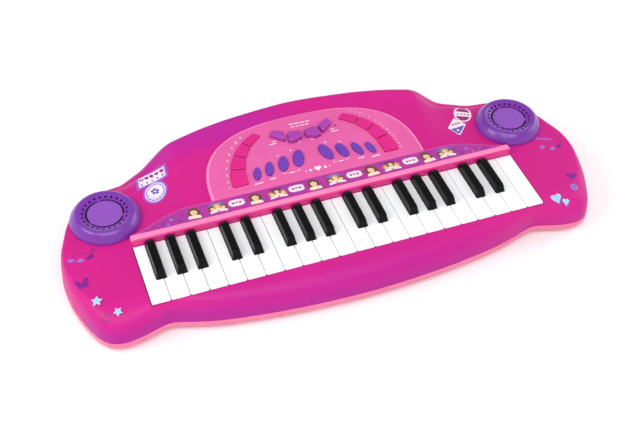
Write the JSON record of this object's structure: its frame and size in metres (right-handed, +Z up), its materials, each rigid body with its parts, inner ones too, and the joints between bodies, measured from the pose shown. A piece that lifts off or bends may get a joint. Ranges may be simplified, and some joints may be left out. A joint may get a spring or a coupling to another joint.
{
  "type": "toy electronic keyboard",
  "caption": "Children's electronic keyboard with mini piano keys, a half-moon button panel and raised round speaker covers on a rounded plastic case.",
  "frame": {"origin": "on the surface the feet stand on, under the middle of the footprint", "axes": "+X to the player's right along the keys, +Y away from the player, +Z up"},
  "size_m": [0.567, 0.2576, 0.0591],
  "materials": {
    "case_magenta": "gloss moulded, slightly satin",
    "case_light_pink": "satin moulded",
    "panel_light_pink": "satin moulded",
    "speaker_purple": "high gloss moulded",
    "key_white": "gloss moulded",
    "key_black": "gloss moulded",
    "button_pink": "satin silicone",
    "button_mauve": "gloss moulded",
    "button_purple": "matt silicone",
    "driver_grey": "black coated steel and paper cone",
    "board": "green solder mask"
  },
  "bodies": {
    "root": {"top_case": "case_magenta", "bottom_case": "case_light_pink", "control_panel": "panel_light_pink", "speaker_cover_left": "speaker_purple", "speaker_cover_right": "speaker_purple", "speaker_driver_left": "driver_grey", "speaker_driver_right": "driver_grey", "circuit_board": "board", "battery_door": "case_light_pink"},
    "white_key_01": {"white_key_01": "key_white"},
    "white_key_02": {"white_key_02": "key_white"},
    "white_key_03": {"white_key_03": "key_white"},
    "white_key_04": {"white_key_04": "key_white"},
    "white_key_05": {"white_key_05": "key_white"},
    "white_key_06": {"white_key_06": "key_white"},
    "white_key_07": {"white_key_07": "key_white"},
    "white_key_08": {"white_key_08": "key_white"},
    "white_key_09": {"white_key_09": "key_white"},
    "white_key_10": {"white_key_10": "key_white"},
    "white_key_11": {"white_key_11": "key_white"},
    "white_key_12": {"white_key_12": "key_white"},
    "white_key_13": {"white_key_13": "key_white"},
    "white_key_14": {"white_key_14": "key_white"},
    "white_key_15": {"white_key_15": "key_white"},
    "white_key_16": {"white_key_16": "key_white"},
    "white_key_17": {"white_key_17": "key_white"},
    "white_key_18": {"white_key_18": "key_white"},
    "white_key_19": {"white_key_19": "key_white"},
    "white_key_20": {"white_key_20": "key_white"},
    "white_key_21": {"white_key_21": "key_white"},
    "white_key_22": {"white_key_22": "key_white"},
    "black_key_01": {"black_key_01": "key_black"},
    "black_key_02": {"black_key_02": "key_black"},
    "black_key_03": {"black_key_03": "key_black"},
    "black_key_04": {"black_key_04": "key_black"},
    "black_key_05": {"black_key_05": "key_black"},
    "black_key_06": {"black_key_06": "key_black"},
    "black_key_07": {"black_key_07": "key_black"},
    "black_key_08": {"black_key_08": "key_black"},
    "black_key_09": {"black_key_09": "key_black"},
    "black_key_10": {"black_key_10": "key_black"},
    "black_key_11": {"black_key_11": "key_black"},
    "black_key_12": {"black_key_12": "key_black"},
    "black_key_13": {"black_key_13": "key_black"},
    "black_key_14": {"black_key_14": "key_black"},
    "black_key_15": {"black_key_15": "key_black"},
    "rhythm_button_left_1": {"rhythm_button_left_1": "button_pink"},
    "rhythm_button_left_2": {"rhythm_button_left_2": "button_pink"},
    "rhythm_button_left_3": {"rhythm_button_left_3": "button_pink"},
    "rhythm_button_left_4": {"rhythm_button_left_4": "button_pink"},
    "rhythm_button_right_1": {"rhythm_button_right_1": "button_pink"},
    "rhythm_button_right_2": {"rhythm_button_right_2": "button_pink"},
    "rhythm_button_right_3": {"rhythm_button_right_3": "button_pink"},
    "rhythm_button_right_4": {"rhythm_button_right_4": "button_pink"},
    "drum_button_1": {"drum_button_1": "button_mauve"},
    "drum_button_2": {"drum_button_2": "button_mauve"},
    "drum_button_3": {"drum_button_3": "button_mauve"},
    "drum_button_4": {"drum_button_4": "button_mauve"},
    "oval_keypad_left": {"oval_keypad_left": "button_purple"},
    "oval_keypad_right": {"oval_keypad_right": "button_purple"}
  },
  "joints": [
    {"name": "white_key_01_press", "type": "hinge", "parent": "root", "child": "white_key_01", "pos_m": [-0.2014, 0.00494, 0.03972], "axis": [1, 0, 0], "range_deg": [0, 3.4], "stiffness_Nm_per_rad": 0.6, "springref_deg": -5.73},
    {"name": "white_key_02_press", "type": "hinge", "parent": "root", "child": "white_key_02", "pos_m": [-0.1824, 0.00494, 0.03972], "axis": [1, 0, 0], "range_deg": [0, 3.4], "stiffness_Nm_per_rad": 0.6, "springref_deg": -5.73},
    {"name": "white_key_03_press", "type": "hinge", "parent": "root", "child": "white_key_03", "pos_m": [-0.1634, 0.00494, 0.03972], "axis": [1, 0, 0], "range_deg": [0, 3.4], "stiffness_Nm_per_rad": 0.6, "springref_deg": -5.73},
    {"name": "white_key_04_press", "type": "hinge", "parent": "root", "child": "white_key_04", "pos_m": [-0.1444, 0.00494, 0.03972], "axis": [1, 0, 0], "range_deg": [0, 3.4], "stiffness_Nm_per_rad": 0.6, "springref_deg": -5.73},
    {"name": "white_key_05_press", "type": "hinge", "parent": "root", "child": "white_key_05", "pos_m": [-0.1254, 0.00494, 0.03972], "axis": [1, 0, 0], "range_deg": [0, 3.4], "stiffness_Nm_per_rad": 0.6, "springref_deg": -5.73},
    {"name": "white_key_06_press", "type": "hinge", "parent": "root", "child": "white_key_06", "pos_m": [-0.1064, 0.00494, 0.03972], "axis": [1, 0, 0], "range_deg": [0, 3.4], "stiffness_Nm_per_rad": 0.6, "springref_deg": -5.73},
    {"name": "white_key_07_press", "type": "hinge", "parent": "root", "child": "white_key_07", "pos_m": [-0.0874, 0.00494, 0.03972], "axis": [1, 0, 0], "range_deg": [0, 3.4], "stiffness_Nm_per_rad": 0.6, "springref_deg": -5.73},
    {"name": "white_key_08_press", "type": "hinge", "parent": "root", "child": "white_key_08", "pos_m": [-0.0684, 0.00494, 0.03972], "axis": [1, 0, 0], "range_deg": [0, 3.4], "stiffness_Nm_per_rad": 0.6, "springref_deg": -5.73},
    {"name": "white_key_09_press", "type": "hinge", "parent": "root", "child": "white_key_09", "pos_m": [-0.0494, 0.00494, 0.03972], "axis": [1, 0, 0], "range_deg": [0, 3.4], "stiffness_Nm_per_rad": 0.6, "springref_deg": -5.73},
    {"name": "white_key_10_press", "type": "hinge", "parent": "root", "child": "white_key_10", "pos_m": [-0.0304, 0.00494, 0.03972], "axis": [1, 0, 0], "range_deg": [0, 3.4], "stiffness_Nm_per_rad": 0.6, "springref_deg": -5.73},
    {"name": "white_key_11_press", "type": "hinge", "parent": "root", "child": "white_key_11", "pos_m": [-0.0114, 0.00494, 0.03972], "axis": [1, 0, 0], "range_deg": [0, 3.4], "stiffness_Nm_per_rad": 0.6, "springref_deg": -5.73},
    {"name": "white_key_12_press", "type": "hinge", "parent": "root", "child": "white_key_12", "pos_m": [0.0076, 0.00494, 0.03972], "axis": [1, 0, 0], "range_deg": [0, 3.4], "stiffness_Nm_per_rad": 0.6, "springref_deg": -5.73},
    {"name": "white_key_13_press", "type": "hinge", "parent": "root", "child": "white_key_13", "pos_m": [0.0266, 0.00494, 0.03972], "axis": [1, 0, 0], "range_deg": [0, 3.4], "stiffness_Nm_per_rad": 0.6, "springref_deg": -5.73},
    {"name": "white_key_14_press", "type": "hinge", "parent": "root", "child": "white_key_14", "pos_m": [0.0456, 0.00494, 0.03972], "axis": [1, 0, 0], "range_deg": [0, 3.4], "stiffness_Nm_per_rad": 0.6, "springref_deg": -5.73},
    {"name": "white_key_15_press", "type": "hinge", "parent": "root", "child": "white_key_15", "pos_m": [0.0646, 0.00494, 0.03972], "axis": [1, 0, 0], "range_deg": [0, 3.4], "stiffness_Nm_per_rad": 0.6, "springref_deg": -5.73},
    {"name": "white_key_16_press", "type": "hinge", "parent": "root", "child": "white_key_16", "pos_m": [0.0836, 0.00494, 0.03972], "axis": [1, 0, 0], "range_deg": [0, 3.4], "stiffness_Nm_per_rad": 0.6, "springref_deg": -5.73},
    {"name": "white_key_17_press", "type": "hinge", "parent": "root", "child": "white_key_17", "pos_m": [0.1026, 0.00494, 0.03972], "axis": [1, 0, 0], "range_deg": [0, 3.4], "stiffness_Nm_per_rad": 0.6, "springref_deg": -5.73},
    {"name": "white_key_18_press", "type": "hinge", "parent": "root", "child": "white_key_18", "pos_m": [0.1216, 0.00494, 0.03972], "axis": [1, 0, 0], "range_deg": [0, 3.4], "stiffness_Nm_per_rad": 0.6, "springref_deg": -5.73},
    {"name": "white_key_19_press", "type": "hinge", "parent": "root", "child": "white_key_19", "pos_m": [0.1406, 0.00494, 0.03972], "axis": [1, 0, 0], "range_deg": [0, 3.4], "stiffness_Nm_per_rad": 0.6, "springref_deg": -5.73},
    {"name": "white_key_20_press", "type": "hinge", "parent": "root", "child": "white_key_20", "pos_m": [0.1596, 0.00494, 0.03972], "axis": [1, 0, 0], "range_deg": [0, 3.4], "stiffness_Nm_per_rad": 0.6, "springref_deg": -5.73},
    {"name": "white_key_21_press", "type": "hinge", "parent": "root", "child": "white_key_21", "pos_m": [0.1786, 0.00494, 0.03972], "axis": [1, 0, 0], "range_deg": [0, 3.4], "stiffness_Nm_per_rad": 0.6, "springref_deg": -5.73},
    {"name": "white_key_22_press", "type": "hinge", "parent": "root", "child": "white_key_22", "pos_m": [0.1976, 0.00494, 0.03972], "axis": [1, 0, 0], "range_deg": [0, 3.4], "stiffness_Nm_per_rad": 0.6, "springref_deg": -5.73},
    {"name": "black_key_01_press", "type": "hinge", "parent": "root", "child": "black_key_01", "pos_m": [-0.1938, 0.00494, 0.03972], "axis": [1, 0, 0], "range_deg": [0, 3.4], "stiffness_Nm_per_rad": 0.6, "springref_deg": -5.73},
    {"name": "black_key_02_press", "type": "hinge", "parent": "root", "child": "black_key_02", "pos_m": [-0.1729, 0.00494, 0.03972], "axis": [1, 0, 0], "range_deg": [0, 3.4], "stiffness_Nm_per_rad": 0.6, "springref_deg": -5.73},
    {"name": "black_key_03_press", "type": "hinge", "parent": "root", "child": "black_key_03", "pos_m": [-0.152, 0.00494, 0.03972], "axis": [1, 0, 0], "range_deg": [0, 3.4], "stiffness_Nm_per_rad": 0.6, "springref_deg": -5.73},
    {"name": "black_key_04_press", "type": "hinge", "parent": "root", "child": "black_key_04", "pos_m": [-0.11742, 0.00494, 0.03972], "axis": [1, 0, 0], "range_deg": [0, 3.4], "stiffness_Nm_per_rad": 0.6, "springref_deg": -5.73},
    {"name": "black_key_05_press", "type": "hinge", "parent": "root", "child": "black_key_05", "pos_m": [-0.095, 0.00494, 0.03972], "axis": [1, 0, 0], "range_deg": [0, 3.4], "stiffness_Nm_per_rad": 0.6, "springref_deg": -5.73},
    {"name": "black_key_06_press", "type": "hinge", "parent": "root", "child": "black_key_06", "pos_m": [-0.0608, 0.00494, 0.03972], "axis": [1, 0, 0], "range_deg": [0, 3.4], "stiffness_Nm_per_rad": 0.6, "springref_deg": -5.73},
    {"name": "black_key_07_press", "type": "hinge", "parent": "root", "child": "black_key_07", "pos_m": [-0.0399, 0.00494, 0.03972], "axis": [1, 0, 0], "range_deg": [0, 3.4], "stiffness_Nm_per_rad": 0.6, "springref_deg": -5.73},
    {"name": "black_key_08_press", "type": "hinge", "parent": "root", "child": "black_key_08", "pos_m": [-0.019, 0.00494, 0.03972], "axis": [1, 0, 0], "range_deg": [0, 3.4], "stiffness_Nm_per_rad": 0.6, "springref_deg": -5.73},
    {"name": "black_key_09_press", "type": "hinge", "parent": "root", "child": "black_key_09", "pos_m": [0.01558, 0.00494, 0.03972], "axis": [1, 0, 0], "range_deg": [0, 3.4], "stiffness_Nm_per_rad": 0.6, "springref_deg": -5.73},
    {"name": "black_key_10_press", "type": "hinge", "parent": "root", "child": "black_key_10", "pos_m": [0.038, 0.00494, 0.03972], "axis": [1, 0, 0], "range_deg": [0, 3.4], "stiffness_Nm_per_rad": 0.6, "springref_deg": -5.73},
    {"name": "black_key_11_press", "type": "hinge", "parent": "root", "child": "black_key_11", "pos_m": [0.0722, 0.00494, 0.03972], "axis": [1, 0, 0], "range_deg": [0, 3.4], "stiffness_Nm_per_rad": 0.6, "springref_deg": -5.73},
    {"name": "black_key_12_press", "type": "hinge", "parent": "root", "child": "black_key_12", "pos_m": [0.0931, 0.00494, 0.03972], "axis": [1, 0, 0], "range_deg": [0, 3.4], "stiffness_Nm_per_rad": 0.6, "springref_deg": -5.73},
    {"name": "black_key_13_press", "type": "hinge", "parent": "root", "child": "black_key_13", "pos_m": [0.114, 0.00494, 0.03972], "axis": [1, 0, 0], "range_deg": [0, 3.4], "stiffness_Nm_per_rad": 0.6, "springref_deg": -5.73},
    {"name": "black_key_14_press", "type": "hinge", "parent": "root", "child": "black_key_14", "pos_m": [0.14858, 0.00494, 0.03972], "axis": [1, 0, 0], "range_deg": [0, 3.4], "stiffness_Nm_per_rad": 0.6, "springref_deg": -5.73},
    {"name": "black_key_15_press", "type": "hinge", "parent": "root", "child": "black_key_15", "pos_m": [0.171, 0.00494, 0.03972], "axis": [1, 0, 0], "range_deg": [0, 3.4], "stiffness_Nm_per_rad": 0.6, "springref_deg": -5.73},
    {"name": "rhythm_button_left_1_press", "type": "slide", "parent": "root", "child": "rhythm_button_left_1", "axis": [0, 0.1191, -0.9929], "range_m": [0, 0.0015], "stiffness_N_per_m": 400, "springref_m": -0.0015},
    {"name": "rhythm_button_left_2_press", "type": "slide", "parent": "root", "child": "rhythm_button_left_2", "axis": [0, 0.1191, -0.9929], "range_m": [0, 0.0015], "stiffness_N_per_m": 400, "springref_m": -0.0015},
    {"name": "rhythm_button_left_3_press", "type": "slide", "parent": "root", "child": "rhythm_button_left_3", "axis": [0, 0.1191, -0.9929], "range_m": [0, 0.0015], "stiffness_N_per_m": 400, "springref_m": -0.0015},
    {"name": "rhythm_button_left_4_press", "type": "slide", "parent": "root", "child": "rhythm_button_left_4", "axis": [0, 0.1191, -0.9929], "range_m": [0, 0.0015], "stiffness_N_per_m": 400, "springref_m": -0.0015},
    {"name": "rhythm_button_right_1_press", "type": "slide", "parent": "root", "child": "rhythm_button_right_1", "axis": [0, 0.1191, -0.9929], "range_m": [0, 0.0015], "stiffness_N_per_m": 400, "springref_m": -0.0015},
    {"name": "rhythm_button_right_2_press", "type": "slide", "parent": "root", "child": "rhythm_button_right_2", "axis": [0, 0.1191, -0.9929], "range_m": [0, 0.0015], "stiffness_N_per_m": 400, "springref_m": -0.0015},
    {"name": "rhythm_button_right_3_press", "type": "slide", "parent": "root", "child": "rhythm_button_right_3", "axis": [0, 0.1191, -0.9929], "range_m": [0, 0.0015], "stiffness_N_per_m": 400, "springref_m": -0.0015},
    {"name": "rhythm_button_right_4_press", "type": "slide", "parent": "root", "child": "rhythm_button_right_4", "axis": [0, 0.1191, -0.9929], "range_m": [0, 0.0015], "stiffness_N_per_m": 400, "springref_m": -0.0015},
    {"name": "drum_button_1_press", "type": "slide", "parent": "root", "child": "drum_button_1", "axis": [0, 0.1191, -0.9929], "range_m": [0, 0.0015], "stiffness_N_per_m": 400, "springref_m": -0.0015},
    {"name": "drum_button_2_press", "type": "slide", "parent": "root", "child": "drum_button_2", "axis": [0, 0.1191, -0.9929], "range_m": [0, 0.0015], "stiffness_N_per_m": 400, "springref_m": -0.0015},
    {"name": "drum_button_3_press", "type": "slide", "parent": "root", "child": "drum_button_3", "axis": [0, 0.1191, -0.9929], "range_m": [0, 0.0015], "stiffness_N_per_m": 400, "springref_m": -0.0015},
    {"name": "drum_button_4_press", "type": "slide", "parent": "root", "child": "drum_button_4", "axis": [0, 0.1191, -0.9929], "range_m": [0, 0.0015], "stiffness_N_per_m": 400, "springref_m": -0.0015},
    {"name": "oval_keypad_left_press", "type": "slide", "parent": "root", "child": "oval_keypad_left", "axis": [0, 0.1191, -0.9929], "range_m": [0, 0.0012], "stiffness_N_per_m": 500, "springref_m": -0.0012},
    {"name": "oval_keypad_right_press", "type": "slide", "parent": "root", "child": "oval_keypad_right", "axis": [0, 0.1191, -0.9929], "range_m": [0, 0.0012], "stiffness_N_per_m": 500, "springref_m": -0.0012}
  ]
}
